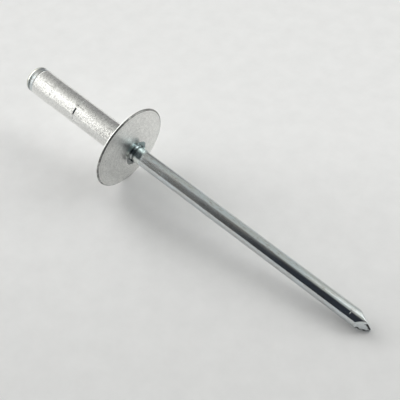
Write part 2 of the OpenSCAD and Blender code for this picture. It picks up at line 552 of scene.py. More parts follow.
# The drawn wire's roughness goes with its lines; the ears and the cap are duller
WIRE_ROUGHNESS = (0.8, 1.3)
EAR_ROUGHNESS = (0.13, 0.45)
CAP_ROUGHNESS = 0.2
LINES_RELIEF, PATCHES_RELIEF = 0.004 * MM, 0.01 * MM


def painted_ring(metal, from_shoulder):
    """Share of the painted dark reflection, a ring round the head's shoulder, strongest at its sides."""
    start, end = metal.ramp(from_shoulder, PAINTED_RING_START), metal.ramp(from_shoulder, PAINTED_RING_END)
    sides = metal.ramp(metal.maths("ABSOLUTE", metal.sideways, 0.0), PAINTED_RING_SIDES, (0.2, 1.0))
    mottle = metal.ramp(metal.pattern(5), (0.35, 0.6), (0.6, 0.95))
    return metal.times(start, end, sides, mottle)


def zinc_plate(settings, shoulder):
    """Bright drawn wire under thin bluish zinc.

    It has long fine lines, faint warm and cool patches, stains, a duller crimp with one ear lightened by a
    painted highlight, painted shade in the crimp's grooves and along its ears' edges, and a painted dark
    reflection as a ring round the head's shoulder, whose place along the axis is in millimetres.
    """
    metal = Metal("zinc_plate")
    colour = tuple(settings.colour)
    lines = metal.pattern(24, along=0.03, rough=0.65)
    patches = metal.pattern(1.3, along=0.25)
    tone = metal.colours(patches, (0.38, tinted(colour, WARM_TINT)), (0.62, tinted(colour, COOL_TINT)))
    stains = metal.ramp(metal.pattern(5, along=0.3, detail=4, rough=0.7), (0.5, 0.64), (0.0, 0.55))
    tone = metal.mixed(stains, tone, STAIN_COLOUR)
    squeezed = metal.times(metal.ramp(metal.along, CRIMP_START), metal.ramp(metal.along, CRIMP_END))
    tone = metal.mixed(squeezed, tone, tinted(colour, SQUEEZED_TINT))
    # Painted highlight: the ear towards -Y is made lighter
    painted_highlight = metal.times(squeezed, metal.ramp(metal.sideways, PAINTED_HIGHLIGHT_SIDE))
    tone = metal.mixed(painted_highlight, tone, PAINTED_HIGHLIGHT_COLOUR)
    # Painted shade in the crimp's grooves and along its ears' edges
    tone = metal.mixed(metal.marks, tone, GROOVE_SHADE_COLOUR)
    from_shoulder = metal.plus(metal.along, -shoulder)
    # Painted dark reflection: a dark ring round the head's shoulder
    tone = metal.mixed(painted_ring(metal, from_shoulder), tone, PAINTED_RING_COLOUR)
    cap = metal.ramp(from_shoulder, ON_CAP)
    tone = metal.mixed(cap, tone, CAP_COLOUR)
    wire = metal.ramp(lines, (0.32, 0.68), [settings.roughness * share for share in WIRE_ROUGHNESS])
    ears = metal.times(squeezed, metal.ramp(metal.radius, ON_EARS, EAR_ROUGHNESS))
    roughness = metal.plus(metal.plus(wire, ears), metal.times(cap, CAP_ROUGHNESS))
    normal = metal.relief((lines, LINES_RELIEF, 0.5), (patches, PATCHES_RELIEF, 0.3))
    return metal.polished(tone, roughness, normal)


# The cut faces' tones, as parts of the zinc's colour, the roughness that goes with them, how high their drag
# marks and tears stand, and the near-black colour of the painted shade along the torn lip
SHEARED_TINTS = (1.1, 1.4)
SHEARED_ROUGHNESS = (0.48, 0.34)
DRAG_RELIEF, TEARS_RELIEF = 0.01 * MM, 0.012 * MM
TEAR_SHADE_COLOUR = (0.03, 0.03, 0.03)


def sheared_steel(settings):
    """The point's cut faces: plated, but rough and dragged along the stroke of the shear, with painted shade
    along the torn lip.
    """
    metal = Metal("sheared_steel")
    drag = metal.pattern(18, along=0.2, detail=4, rough=0.7)
    tears = metal.pattern(9, detail=4, rough=0.6)
    dark, light = (tinted(tuple(settings.colour), tint) for tint in SHEARED_TINTS)
    # Painted shade: near black along the torn lip
    tone = metal.mixed(metal.marks, metal.colours(tears, (0.35, dark), (0.65, light)), TEAR_SHADE_COLOUR)
    roughness = metal.ramp(tears, (0.35, 0.65), SHEARED_ROUGHNESS)
    normal = metal.relief((drag, DRAG_RELIEF, 0.6), (tears, TEARS_RELIEF, 0.5))
    return metal.polished(tone, roughness, normal)


# ---------------------------------------------------------------- the aluminium body

# Edge roundings and fillets of the body
RIM_EDGE = 0.1 * MM
RIM_FRONT_EDGE = 0.14 * MM
SEAT_FILLET = 0.2 * MM
SLEEVE_END_EDGE = 0.05 * MM
BORE_CHAMFER_WIDTH = 0.2 * MM
BORE_CHAMFER_DEPTH = 0.1 * MM

# How fine the body's mesh is: points on its edges and dome, and steps along its straight stretches
EDGE_POINTS = 7
RIM_FRONT_POINTS = 9
DOME_POINTS = 44
END_STEP, SLEEVE_STEP, SEAT_STEP, BORE_STEP = 0.12 * MM, 0.13 * MM, 0.22 * MM, 1.2 * MM
DENT_WALL_STEP, DENT_RAMP_STEP, DENT_MARGIN = 0.016 * MM, 0.07 * MM, 0.1 * MM
BODY_COLUMNS = 288

# Grip dents: two rings of them, each dent a steep wall that faces the flange and a ramp. The rings differ in
# strength, and so do a ring's dents, by a wave with a certain turn from one dent to the next. The deeper a
# dent is, the darker its wall, with soil and painted shade
DENT_RINGS = (7.35 * MM, 11.15 * MM)
DENT_ARC = 48 * DEG
DENT_END = 2.5 * DEG
DENT_WALL = 0.18 * MM
DENT_LENGTH = 1.5 * MM
DENT_RING_STRENGTHS = (0.7, 0.03)
DENT_SPREAD, DENT_SPREAD_TURN, DENT_SPREAD_START = 0.75, 1.885, -1.57
DENT_SHADE_AND_GRIME = 0.6

# The sleeve narrows by a soft step at each ring, towards the flange
RING_STEP = 0.012 * MM
RING_STEP_LENGTH = 0.6 * MM

# Fine lap lines that the drawing left along the sleeve: where each starts and ends, and the angle that it
# wanders about
LAP_LINES = ((-13.0 * MM, -11.3 * MM, -159 * DEG), (-7.9 * MM, -6.4 * MM, -161 * DEG))
LAP_HALF_WIDTH = 0.045 * MM
LAP_FADE = 0.3 * MM
LAP_DEPTH = 0.012 * MM
LAP_WANDER, LAP_WANDER_LENGTH = 0.03, 1.1 * MM
LAP_GRIME = 0.55

# The sleeve and the face are a little uneven: height and length of their long and short waves
LONG_WAVES = (0.004 * MM, 3.2 * MM)
SHORT_WAVES = (0.001 * MM, 0.8 * MM)

# How squarely a point has to look outwards to be on the sleeve, and upwards to be on the face
LOOKS_OUT, LOOKS_UP = 0.7, 0.9


def sleeve_radius_at(body, under_seat):
    """The sleeve's radius, which steps down a little at each ring of dents towards the flange."""
    radius = np.full_like(under_seat, body.sleeve_diameter / 2)
    for ring in DENT_RINGS:
        radius -= RING_STEP * smooth_step((ring - under_seat) / RING_STEP_LENGTH + 0.5)
    return radius


def level(start, stop, step, place):
    """Points across the axis from start to stop, all at one place along it."""
    across = steps(start, stop, step)
    return np.stack([across, np.full_like(across, place)], axis=1)


def sleeve_wall(body):
    """The sleeve's outside from its tail to the fillet at the seat, with closer steps at the dents."""
    seat = -body.rim_thickness
    far, near = (seat - ring for ring in reversed(DENT_RINGS))
    runs = [steps(seat - body.sleeve_length + SLEEVE_END_EDGE, far - DENT_MARGIN, SLEEVE_STEP)]
    for foot, after in ((far, near - DENT_MARGIN), (near, seat - SEAT_FILLET)):
        wall_top = foot + DENT_WALL + DENT_MARGIN
        ramp_top = foot + DENT_LENGTH + DENT_MARGIN
        runs.append(steps(foot - DENT_MARGIN, wall_top, DENT_WALL_STEP))
        runs.append(steps(wall_top, ramp_top, DENT_RAMP_STEP))
        runs.append(steps(ramp_top, after, SLEEVE_STEP))
    wall = np.concatenate(runs)
    return np.stack([sleeve_radius_at(body, seat - wall), wall], axis=1)


def body_section(body):
    """The body's closed section, walked from the tail's inner edge over the outside to the bore."""
    seat = -body.rim_thickness
    end = seat - body.sleeve_length
    tail = body.sleeve_diameter / 2
    front = tail - len(DENT_RINGS) * RING_STEP
    bore = body.bore_diameter / 2
    rim = body.flange_diameter / 2
    face_edge = rim - RIM_FRONT_EDGE
    dome = (face_edge ** 2 + body.dome_height ** 2) / (2 * body.dome_height)
    dome_centre = body.dome_height - dome
    dome_start = math.atan2(-dome_centre, face_edge)
    mouth = bore + BORE_CHAMFER_WIDTH
    dome_stop = math.atan2(math.sqrt(dome ** 2 - mouth ** 2), mouth)
    dome_points = arc((0, dome_centre), dome, dome_start, dome_stop, DOME_POINTS)
    face = dome_points[-1, 1]
    bore_top = face - BORE_CHAMFER_DEPTH
    bore_wall = steps(bore_top, end, BORE_STEP)
    tail_corner = (tail - SLEEVE_END_EDGE, end + SLEEVE_END_EDGE)
    return joined(
        level(bore, tail - SLEEVE_END_EDGE, END_STEP, end),
        arc(tail_corner, SLEEVE_END_EDGE, -math.pi / 2, 0, EDGE_POINTS),
        sleeve_wall(body),
        arc((front + SEAT_FILLET, seat - SEAT_FILLET), SEAT_FILLET, math.pi, math.pi / 2, EDGE_POINTS),
        level(front + SEAT_FILLET, rim - RIM_EDGE, SEAT_STEP, seat),
        arc((rim - RIM_EDGE, seat + RIM_EDGE), RIM_EDGE, -math.pi / 2, 0, EDGE_POINTS),
        arc((face_edge, -RIM_FRONT_EDGE), RIM_FRONT_EDGE, 0, math.pi / 2, RIM_FRONT_POINTS),
        dome_points,
        [[bore + BORE_CHAMFER_WIDTH / 2, face - BORE_CHAMFER_DEPTH / 2], [bore, bore_top]],
        np.stack([np.full_like(bore_wall, bore), bore_wall], axis=1),
    )


def dents_at(body, under_seat, angle):
    """How deep the grip dents are, and how much soil and painted shade darken their walls, most of all
    halfway up.
    """
    pitch = TURN / body.dent_count
    across = np.abs((angle - DENT_TURN + pitch / 2) % pitch - pitch / 2)
    share = smooth_step((DENT_ARC / 2 - across) / DENT_END + 0.5)
    depth = np.zeros(np.broadcast(under_seat, angle).shape)
    shade_and_grime = np.zeros_like(depth)
    number = np.floor((angle - DENT_TURN + pitch / 2) / pitch) % body.dent_count
    uneven = 1 - DENT_SPREAD * (1 + np.sin(DENT_SPREAD_TURN * number + DENT_SPREAD_START)) / 2
    for ring, strength in zip(DENT_RINGS, DENT_RING_STRENGTHS):
        ahead = ring - under_seat
        wall = smooth_step(ahead / DENT_WALL)
        ramp = np.clip((DENT_LENGTH - ahead) / (DENT_LENGTH - DENT_WALL), 0, 1)
        struck = strength * uneven
        depth += body.dent_depth * struck * wall * ramp * share
        # Soil and painted shade, darkest halfway up each dent's wall
        shade_and_grime += DENT_SHADE_AND_GRIME * struck ** 3 * 4 * wall * (1 - wall) * share
    return depth, shade_and_grime


def laps_at(along, angle, radius):
    """How deep in a lap line each point is, from 0 to 1."""
    share = np.zeros(along.shape)
    for start, stop, turn in LAP_LINES:
        across = np.abs(angle_from(angle, turn)) * radius / LAP_HALF_WIDTH
        ends = np.minimum(along - start, stop - along) / LAP_FADE
        share = np.maximum(share, smooth_step(1 - across) * smooth_step(ends))
    return share


def make_body(settings):
    """The sleeve and its flange as one closed skin, dented, lapped and a little uneven."""
    body = settings.body
    section = outward(body_section(body))
    angle = np.arange(BODY_COLUMNS) * TURN / BODY_COLUMNS + 0 * section.along[:, None]
    radius = section.radius[:, None] + 0 * angle
    along = section.along[:, None] + 0 * angle
    seat = -body.rim_thickness
    on_sleeve = (section.out_radius[:, None] > LOOKS_OUT) & (along < seat - SEAT_FILLET)
    on_face = (section.out_along[:, None] > LOOKS_UP) & (along > 0)
    start = turned(radius, along, angle)
    dents, shade_and_grime = dents_at(body, seat - along, angle)
    laps = laps_at(along, angle + LAP_WANDER * waves(start, LAP_WANDER_LENGTH, seed=13), radius)
    uneven = sum(height * waves(start, length, seed)
                 for (height, length), seed in ((LONG_WAVES, 11), (SHORT_WAVES, 12)))
    swell = uneven * (on_sleeve | on_face) - (dents + LAP_DEPTH * laps) * on_sleeve
    marks = np.minimum(shade_and_grime + LAP_GRIME * laps, 1) * on_sleeve
    radius = radius + section.out_radius[:, None] * swell
    along = along + section.out_along[:, None] * swell
    rings = turned(radius, along, angle)
    piece = skin("blind_rivet_body", rings, marks, rivet_place(body.rim_thickness), closed=True)
    piece.data.materials.append(tumbled_aluminium(body))
    return piece


# ---------------------------------------------------------------- the mandrel

# Head, break notch and crimp of the mandrel
HEAD_EDGE = 0.5 * MM
HEAD_BACK_EDGE = 0.03 * MM
NOTCH_FROM_HEAD = 1.6 * MM
NOTCH_HALF_LENGTH = 0.4 * MM
NOTCH_RADIUS = 0.625 * MM
COLLAR_AT, COLLAR_HALF_LENGTH, COLLAR_RISE = 0.7 * MM, 0.26 * MM, 0.07 * MM
GROOVE_AT, GROOVE_HALF_LENGTH, GROOVE_DEPTH = 1.04 * MM, 0.16 * MM, 0.04 * MM
PINCH_START, PINCH_DEEPEST, PINCH_END, PINCH_DEPTH = 1.24 * MM, 1.8 * MM, 2.0 * MM, 0.05 * MM
CRIMP_BLEND, EAR_BLEND = 0.05 * MM, 0.1 * MM

# Stretches of the crimp that get painted shade all round: the middle of each, its half length and how dark
# it is painted. What stands further out than the shaded radius, the ears, gets painted shade at its edges
# only
SHADED_GROOVES = ((0.78 * MM, 0.26 * MM, 0.9), (1.1 * MM, 0.3 * MM, 0.97))
SHADED_RADIUS = 1.05 * MM

# The two ears: their thickness and how it tapers, how much painted shade their edges get, how squarely a
# point has to face an ear or a pinched flat to be shaped by it, and the ears' outline along the axis and
# away from it
EAR_HALF_THICKNESS = 0.26 * MM
EAR_TAPER_OUT = 0.22
EAR_TAPER_UP = 0.18
EAR_REACH = 1.5 * MM
EAR_EDGE_SHADE, EAR_EDGE_SHADE_WIDTH = 0.85, 0.07 * MM
EAR_FACING, EAR_FACING_LEAST, PINCH_FACING_LEAST = 0.5, 0.2, 0.05
EAR_OUTLINE = (
    (0.44 * MM, 0.45 * MM),
    (0.47 * MM, 0.95 * MM),
    (0.52 * MM, 1.1 * MM),
    (0.75 * MM, 1.42 * MM),
    (0.88 * MM, EAR_REACH),
    (1.0 * MM, EAR_REACH),
    (1.42 * MM, 0.96 * MM),
    (1.5 * MM, 0.45 * MM),
)

# The point: two facets sheared across the wire, and a small blunt end
MAIN_FACET_ANGLE = 34 * DEG
BACK_FACET_ANGLE = 29 * DEG
MAIN_FACET_DROP = 0.25 * MM
BACK_FACET_DROP = 0.1 * MM
POINT_ROOT = 1.95 * MM
FACET_RIDGE = 0.05 * MM
POINT_BLUNT = 0.06 * MM
POINT_EDGE = 0.05 * MM
POINT_SHOULDER = 0.2 * MM
POINT_SHOULDER_TURN, POINT_SHOULDER_SPREAD = 165 * DEG, 70 * DEG

# The torn lip that the shear left along the main facet, as places across the wire
TEAR_LINE = (
    (0.4 * MM, -0.64 * MM),
    (0.6 * MM, -0.42 * MM),
    (0.67 * MM, -0.16 * MM),
    (0.72 * MM, 0.02 * MM),
    (0.42 * MM, 0.08 * MM),
    (0.12 * MM, 0.04 * MM),
    (-0.36 * MM, -0.13 * MM),
)
TEAR_HALF_WIDTH = 0.12 * MM
TEAR_DEPTH = 0.04 * MM
TEAR_STEEPNESS = 1.5
TEAR_WANDER, TEAR_WANDER_LENGTH = 0.05 * MM, 0.22 * MM

# A nick in the wire close to the point
NICK_AT, NICK_TURN = 29.6 * MM, -150 * DEG
NICK_HALF_LENGTH, NICK_HALF_WIDTH, NICK_DEPTH = 0.14 * MM, 0.34 * MM, 0.02 * MM

# The crimp is knocked and the stem is a little uneven: height and length of their waves, and where the
# knocks come in and run out, each from where they start to where they are full
KNOCKS, STEM_WAVES = (0.003 * MM, 0.3 * MM), (0.003 * MM, 2.6 * MM)
KNOCKED_FROM, KNOCKED_UP_TO = (0.5 * MM, 0.7 * MM), (2.1 * MM, 1.8 * MM)

# How fine the mandrel's mesh is: points on its head, the few rings that its hidden stem needs, steps along
# the crimp and the stem, and rings up the point's sides, over its edge and across its cut faces
HEAD_POLE, HEAD_STEP, HEAD_POINTS, HEAD_SIDE_POINTS, HEAD_BACK_POINTS = 0.1 * MM, 0.12 * MM, 13, 5, 5
HEAD_SEAT_RADIUS = 1.2 * MM
HIDDEN_STEM = (-6 * MM, -2 * MM, 0, 0.3 * MM)
CRIMP_RINGS_START, CRIMP_RINGS_END, CRIMP_STEP = 0.4 * MM, 2.1 * MM, 0.02 * MM
STEM_START, STEM_STEP, NICK_STEP = 2.2 * MM, 0.28 * MM, 0.03 * MM
NICK_MARGIN, NICK_GAP = 0.26 * MM, 0.04 * MM
SIDE_RINGS, EDGE_RINGS, CUT_RINGS, CUT_INNERMOST = 14, 6, 36, 0.03

# Columns round the mandrel, and what crowds them at each ear: angle off the ear, spread and weight
MANDREL_COLUMNS = 256
COLUMN_SAMPLES = 4001
EAR_CROWDS = ((0, 9 * DEG, 2), (12 * DEG, 5 * DEG, 8))


def mandrel_angles():
    """Angles round the mandrel, crowded where the ears and their two faces stand."""
    angle = np.linspace(-math.pi, math.pi, COLUMN_SAMPLES)
    crowd = np.ones_like(angle)
    for ear in EAR_TURNS:
        off_ear = np.abs(angle_from(angle, ear))
        peaks = [weight * np.exp(-(((off_ear - off) / spread) ** 2)) for off, spread, weight in EAR_CROWDS]
        crowd += sum(peaks)
    count = np.concatenate([[0], np.cumsum((crowd[1:] + crowd[:-1]) / 2)])
    wanted = np.arange(MANDREL_COLUMNS) * count[-1] / MANDREL_COLUMNS
    return np.interp(wanted, count, angle)


def head_section(body, mandrel):
    """From the middle of the head's end, round the head and into the sleeve, to the stem at the flange."""
    sleeve_end = -body.rim_thickness - body.sleeve_length
    head_end = sleeve_end - mandrel.head_length
    head = mandrel.head_diameter / 2
    stem = mandrel.stem_diameter / 2
    notch = sleeve_end + NOTCH_FROM_HEAD
    back = sleeve_end - HEAD_BACK_EDGE
    return joined(
        level(HEAD_POLE, head - HEAD_EDGE, HEAD_STEP, head_end),
        arc((head - HEAD_EDGE, head_end + HEAD_EDGE), HEAD_EDGE, -math.pi / 2, 0, HEAD_POINTS),
        [[head, place] for place in np.linspace(head_end + HEAD_EDGE, back, HEAD_SIDE_POINTS)],
        arc((head - HEAD_BACK_EDGE, back), HEAD_BACK_EDGE, 0, math.pi / 2, HEAD_BACK_POINTS),
        [[HEAD_SEAT_RADIUS, sleeve_end], [stem, sleeve_end]],
        [[stem, notch - NOTCH_HALF_LENGTH], [NOTCH_RADIUS, notch], [stem, notch + NOTCH_HALF_LENGTH]],
        [[stem, place] for place in HIDDEN_STEM],
    )


def hump(x, centre, half_width):
    """A smooth bump of unit height over a length."""
    return smooth_step(1 - np.abs(x - centre) / half_width)


def ear_outline(mandrel, along):
    """How far from the axis an ear reaches at each place along it."""
    stem = mandrel.stem_diameter / 2
    outline = np.interp(along, [place for place, _ in EAR_OUTLINE], [reach for _, reach in EAR_OUTLINE])
    reach_share = (mandrel.ear_reach - stem) / (EAR_REACH - stem)
    return np.where(outline > stem, stem + (outline - stem) * reach_share, outline)


def crimped_radius(mandrel, along, angle):
    """The stem's radius through the crimp: a squeezed collar, two pinched flats and two thin ears."""
    stem = mandrel.stem_diameter / 2
    collar = COLLAR_RISE * hump(along, COLLAR_AT, COLLAR_HALF_LENGTH)
    groove = GROOVE_DEPTH * hump(along, GROOVE_AT, GROOVE_HALF_LENGTH)
    radius = stem + collar - groove
    pinch = stem - PINCH_DEPTH * np.clip((along - PINCH_START) / (PINCH_DEEPEST - PINCH_START), 0, 1)
    pinch = pinch + PINCH_DEPTH * smooth_step((along - PINCH_DEEPEST) / (PINCH_END - PINCH_DEEPEST))
    pinch = np.where((along < PINCH_START) | (along > PINCH_END), 2 * stem, pinch)
    for turn in (CRIMP_TURN, CRIMP_TURN + math.pi):
        facing = np.maximum(np.cos(angle_from(angle, turn)), PINCH_FACING_LEAST)
        radius = soft_min(radius, pinch / facing, CRIMP_BLEND)
    outline = ear_outline(mandrel, along)
    for turn in EAR_TURNS:
        off_ear = angle_from(angle, turn)
        facing = np.cos(off_ear)
        thickness = EAR_HALF_THICKNESS + EAR_TAPER_OUT * stem - EAR_TAPER_UP * (along - COLLAR_AT)
        side = thickness / (np.abs(np.sin(off_ear)) + EAR_TAPER_OUT * facing)
        edge = outline / np.maximum(facing, EAR_FACING_LEAST)
        ear = soft_min(edge, np.where(facing > EAR_FACING_LEAST, side, 0), CRIMP_BLEND)
        radius = soft_max(radius, np.where(facing > EAR_FACING, ear, 0), EAR_BLEND)
    return radius


def point_height(mandrel, x, y):
    """Height of the point's cut faces over the plane across the stem."""
    top = mandrel.stem_height + 0 * x
    main = x * math.cos(MAIN_FACET_TURN) + y * math.sin(MAIN_FACET_TURN)
    back = x * math.cos(BACK_FACET_TURN) + y * math.sin(BACK_FACET_TURN)
    main = mandrel.stem_height - MAIN_FACET_DROP - main / math.tan(MAIN_FACET_ANGLE)
    back = mandrel.stem_height - BACK_FACET_DROP - back / math.tan(BACK_FACET_ANGLE)
    return soft_min(soft_min(main, back, FACET_RIDGE), top, POINT_BLUNT)


def tear_at(x, y):
    """How near the torn lip a place across the wire is, from 0 to 1."""
    places = np.stack([x, y, 0 * x], axis=-1)
    x = x + TEAR_WANDER * waves(places, TEAR_WANDER_LENGTH, seed=31)
    y = y + TEAR_WANDER * waves(places, TEAR_WANDER_LENGTH, seed=32)
    nearest = np.full(x.shape, 1.0)
    for (x0, y0), (x1, y1) in zip(TEAR_LINE, TEAR_LINE[1:]):
        length = math.hypot(x1 - x0, y1 - y0)
        share = np.clip(((x - x0) * (x1 - x0) + (y - y0) * (y1 - y0)) / length ** 2, 0, 1)
        nearest = np.minimum(nearest, np.hypot(x - x0 - share * (x1 - x0), y - y0 - share * (y1 - y0)))
    return smooth_step(TEAR_STEEPNESS * (1 - nearest / TEAR_HALF_WIDTH))


def point_rings(mandrel, angle):
    """Rings from the plain stem up to the cut faces, over their rounded edge and in to the axis."""
    stem = mandrel.stem_diameter / 2
    root = mandrel.stem_height - POINT_ROOT
    off_shoulder = np.abs(angle_from(angle, POINT_SHOULDER_TURN))
    edge = POINT_EDGE + POINT_SHOULDER * smooth_step(1 - off_shoulder / POINT_SHOULDER_SPREAD)
    corner = point_height(mandrel, stem * np.cos(angle), stem * np.sin(angle))
    inner = point_height(mandrel, (stem - edge) * np.cos(angle), (stem - edge) * np.sin(angle))
    rings = []
    for share in np.linspace(0, 1, SIDE_RINGS + 1)[1:]:
        rings.append(turned(stem + 0 * angle, root + (corner - edge - root) * share, angle))
    for t in np.linspace(0, 1, EDGE_RINGS + 1)[1:]:
        radius = (1 - t) ** 2 * stem + 2 * t * (1 - t) * stem + t ** 2 * (stem - edge)
        along = (1 - t) ** 2 * (corner - edge) + 2 * t * (1 - t) * corner + t ** 2 * inner
        rings.append(turned(radius + 0 * angle, along, angle))
    for share in np.linspace(1, CUT_INNERMOST, CUT_RINGS + 1)[1:]:
        radius = (stem - edge) * share
        x, y = radius * np.cos(angle), radius * np.sin(angle)
        along = point_height(mandrel, x, y) - TEAR_DEPTH * tear_at(x, y)
        rings.append(turned(radius + 0 * angle, along, angle))
    return np.array(rings)


def crimp_rings(mandrel, angle):
    """Rings through the crimp, with small knocks that fade out at both its ends."""
    along = np.arange(CRIMP_RINGS_START, CRIMP_RINGS_END, CRIMP_STEP)[:, None]
    angle = angle + 0 * along
    rings = turned(crimped_radius(mandrel, along + 0 * angle, angle), along, angle)
    knocked = 1.0
    for start, full in (KNOCKED_FROM, KNOCKED_UP_TO):
        knocked = knocked * smooth_step((along - start) / (full - start))
    height, length = KNOCKS
    knock = height * knocked * waves(rings, length, seed=22)
    return rings + turned(1, 0 * along, angle) * knock[..., None]


def stem_rings(mandrel, angle):
    """Rings along the plain stem, close together at its nick."""
    clear = NICK_MARGIN + NICK_GAP
    along = np.concatenate([
        steps(STEM_START, NICK_AT - clear, STEM_STEP),
        steps(NICK_AT - NICK_MARGIN, NICK_AT + NICK_MARGIN, NICK_STEP),
        steps(NICK_AT + clear, mandrel.stem_height - POINT_ROOT, STEM_STEP),
    ])[:, None]
    angle = angle + 0 * along
    radius = mandrel.stem_diameter / 2
    rings = turned(radius, along, angle)
    across = np.abs(angle_from(angle, NICK_TURN)) * radius
    nick = smooth_step(1 - np.hypot((along - NICK_AT) / NICK_HALF_LENGTH, across / NICK_HALF_WIDTH))
    height, length = STEM_WAVES
    swell = height * waves(rings, length, seed=21) - NICK_DEPTH * nick
    return rings + turned(1, 0 * along, angle) * swell[..., None]


def mandrel_marks(mandrel, rings):
    """How much painted shade the crimp's grooves, its ears' edges and the torn lip across the point's cut
    faces get.
    """
    marks = np.zeros(rings.shape[:2])
    x, y, along = np.moveaxis(rings, -1, 0)
    # Painted shade all round the crimp's grooves
    for place, half_length, darkness in SHADED_GROOVES:
        marks = np.maximum(marks, darkness * hump(along, place, half_length) * (np.hypot(x, y) < SHADED_RADIUS))
    outline = ear_outline(mandrel, along)
    for turn in EAR_TURNS:
        reach = x * math.cos(turn) + y * math.sin(turn)
        on_edge = smooth_step((reach - outline) / EAR_EDGE_SHADE_WIDTH + 1)
        marks = np.maximum(marks, EAR_EDGE_SHADE * on_edge * (outline > SHADED_RADIUS))
    # Painted shade along the torn lip across the cut faces
    marks[-CUT_RINGS:] = tear_at(x[-CUT_RINGS:], y[-CUT_RINGS:])
    return marks


def make_mandrel(settings):
    """The head, the hidden stem, the crimp, the plain stem and the point as one closed skin."""
    body, mandrel = settings.body, settings.mandrel
    angle = mandrel_angles()
    head = head_section(body, mandrel)
    rings = np.concatenate([
        turned(head[:, :1], head[:, 1:], angle + 0 * head[:, :1]),
        crimp_rings(mandrel, angle),
        stem_rings(mandrel, angle),
        point_rings(mandrel, angle),
    ])
    marks = mandrel_marks(mandrel, rings)
    start_pole = (0, 0, head[0, 1])
    end_pole = (0, 0, float(point_height(mandrel, np.zeros(1), np.zeros(1))[0]))
    place = rivet_place(body.rim_thickness)
    piece = skin("mandrel_wire", rings, marks, place, start_pole=start_pole, end_pole=end_pole)
    piece.data.materials.append(zinc_plate(mandrel, (head[0, 1] + HEAD_EDGE) / MM))
    piece.data.materials.append(sheared_steel(mandrel))
    first_cut = (len(rings) - CUT_RINGS) * MANDREL_COLUMNS
    for face in piece.data.polygons:
        if min(face.vertices) >= first_cut:
            face.material_index = 1
    return piece


# ---------------------------------------------------------------- the stage

# The camera's sensor in millimetres, how near and far it sees, and the floor point that it looks at
SENSOR_WIDTH = 36
CLIP_START, CLIP_END = 1 * MM, 10
CAMERA_TARGET = (-0.36 * MM, 2.56 * MM, 0)

# The floor, in metres: half its width, the direction and the stretch along which its colour darkens a little
# as painted light falloff, its mottling by waves per metre, and how far from the rivet it turns into the
# even backdrop
BACKDROP_COLOUR = (0.79, 0.785, 0.775)
FLOOR_HALF = 3.0
FLOOR_PAINTED_FALLOFF_DIRECTION = (0.65, -0.76, 0)
FLOOR_PAINTED_FALLOFF_SPAN, FLOOR_PAINTED_FALLOFF = (-0.012, 0.035), (1.06, 0.83)
FLOOR_MOTTLE_SCALE, FLOOR_MOTTLE = 420, (0.975, 1.02)
FLOOR_ROUGHNESS, FLOOR_SPECULAR = 0.9, 0.1
FLOOR_FAR = (0.08, 0.25)

# The light by direction, in whites: the room, its shades across the dark front and down the pale left side,
# its right side, and one dark bar and four windows, each a range across X and one across Y as seen from
# above, a soft edge and a colour
ROOM_COLOUR = (0.56, 0.58, 0.56)
FRONT_SHADES = (
    (-0.235, (0.55, 0.55, 0.53)),
    (-0.185, (0.27, 0.265, 0.26)),
    (-0.12, (0.24, 0.235, 0.225)),
    (-0.01, (0.11, 0.11, 0.11)),
    (0.05, (0.035, 0.04, 0.05)),
)
LEFT_SHADES = (
    (-2.2, (1.3, 1.3, 1.27)),
    (-1.8, (1.34, 1.34, 1.31)),
    (-1.5, (1.2, 1.2, 1.17)),
    (-1.2, (0.78, 0.78, 0.76)),
    (-1.0, (0.58, 0.58, 0.56)),
    (-0.65, (0.31, 0.31, 0.31)),
)
RIGHT_COLOUR = (0.4, 0.41, 0.4)
WINDOW_BAR = ((-0.68, -0.58), (-0.85, 0.05), 0.03, (0.12, 0.12, 0.12))
WINDOWS = (
    ((-0.95, -0.73), (-0.62, 0.3), 0.05, (3.4, 3.4, 3.35)),
    ((-0.43, -0.37), (-0.8, -0.35), 0.02, (0.7, 0.7, 0.68)),
    ((-0.03, 0.16), (0.3, 0.97), 0.06, (0.84, 0.85, 0.83)),
    ((0.16, 0.75), (0.45, 0.86), 0.05, (2.9, 2.9, 2.86)),
)

# Where the front and the two sides begin, and how their edges and shades slant: the front's edge bends up to
# a certain X, and the left side's edge leans below a certain Y
RIGHT_EDGE = (0.1, 0.22)
FRONT_EDGE, FRONT_BEND, FRONT_BEND_UP_TO = (0.06, -0.25), 0.8, 0.06
LEFT_EDGE, LEFT_LEAN, LEFT_LEAN_BELOW = (-0.31, -0.35), 0.18, -0.3
FRONT_SLANT = (1, -0.27)
LEFT_SLANT = (3, 1)


